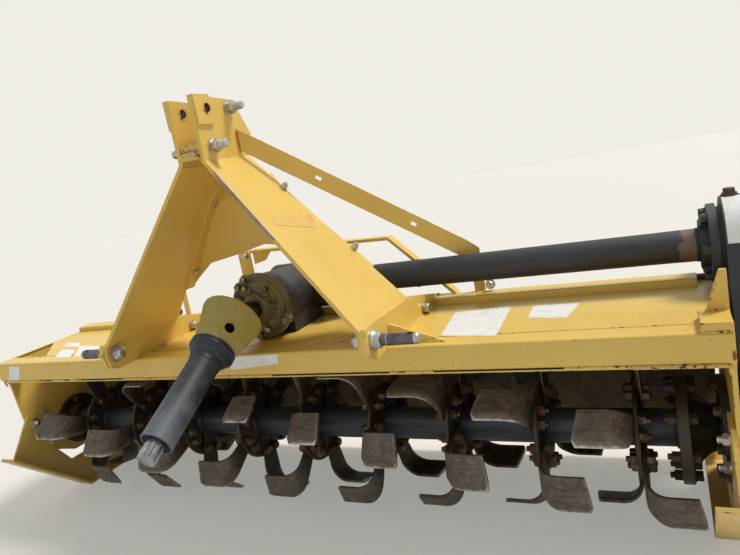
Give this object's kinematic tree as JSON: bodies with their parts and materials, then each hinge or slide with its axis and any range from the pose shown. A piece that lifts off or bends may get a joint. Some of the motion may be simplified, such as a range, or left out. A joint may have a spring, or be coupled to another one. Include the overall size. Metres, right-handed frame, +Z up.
{
  "type": "rotary tiller",
  "caption": "Tractor-mounted rotary tiller with a tined rotor under a hood, three-point hitch, gearbox, side gear case and guarded half shaft.",
  "frame": {"origin": "on the ground under the middle of the whole machine", "axes": "+X to the gear case end, along the rotor; +Y to the rear, away from the tractor; +Z up"},
  "size_m": [1.863, 0.7582, 0.987],
  "materials": {
    "frame_paint": "gloss",
    "drive_paint": "satin",
    "gearbox_paint": "satin",
    "plated_steel": "satin",
    "shaft_steel": "satin",
    "tine_steel": "matte",
    "rotor_paint": "satin",
    "guard_plastic": "matte",
    "collar_plastic": "satin",
    "tube_plastic": "satin"
  },
  "bodies": {
    "frame": {"bearing_housing_left": "rotor_paint", "brace_left": "frame_paint", "brace_right": "frame_paint", "case_bracket": "frame_paint", "drive_tube": "drive_paint", "filler_plug": "plated_steel", "front_rail": "frame_paint", "gear_case": "drive_paint", "gear_case_cover": "drive_paint", "gearbox_cover": "gearbox_paint", "gearbox_housing": "gearbox_paint", "hinge_rod": "plated_steel", "hood_sheet": "frame_paint", "input_yoke": "shaft_steel", "lower_pin_left": "plated_steel", "lower_pin_right": "plated_steel", "lug_gusset_left": "frame_paint", "lug_gusset_right": "frame_paint", "lug_plate_left": "frame_paint", "lug_plate_right": "frame_paint", "mast_plate_left": "frame_paint", "mast_plate_right": "frame_paint", "mast_spacer": "plated_steel", "output_flange": "rotor_paint", "rear_rail": "frame_paint", "rear_sheet": "frame_paint", "side_plate_left": "frame_paint", "side_plate_right": "frame_paint", "skid_left": "frame_paint", "skid_right": "frame_paint", "strap": "frame_paint"},
    "rotor": {"rotor_tube": "rotor_paint", "coupling_flange": "rotor_paint", "tine_set_1": "tine_steel", "tine_set_2": "tine_steel", "tine_set_3": "tine_steel", "tine_set_4": "tine_steel", "tine_set_5": "tine_steel", "tine_set_6": "tine_steel", "tine_set_7": "tine_steel", "tine_set_8": "tine_steel", "tine_set_9": "tine_steel"},
    "cross": {"joint_cross": "shaft_steel"},
    "half_shaft": {"outer_yoke": "shaft_steel", "guard_bell": "guard_plastic", "guard_collar": "collar_plastic", "guard_tube": "tube_plastic", "half_shaft": "shaft_steel"},
    "flap": {"rear_flap": "frame_paint"}
  },
  "joints": [
    {"name": "rotor_spin", "type": "hinge", "parent": "frame", "child": "rotor", "pos_m": [-0.0365, 0.13312, 0.198], "axis": [1, 0, 0], "continuous": true},
    {"name": "driveline_side", "type": "hinge", "parent": "frame", "child": "cross", "pos_m": [-0.0625, -0.07488, 0.525], "axis": [0, 0, 1], "range_deg": [-25, 25]},
    {"name": "driveline_lift", "type": "hinge", "parent": "cross", "child": "half_shaft", "pos_m": [-0.0625, -0.07488, 0.525], "axis": [-1, 0, 0], "range_deg": [0, 56]},
    {"name": "flap_hinge", "type": "hinge", "parent": "frame", "child": "flap", "pos_m": [-0.0625, 0.35312, 0.329], "axis": [1, 0, 0], "range_deg": [0, 75]}
  ]
}
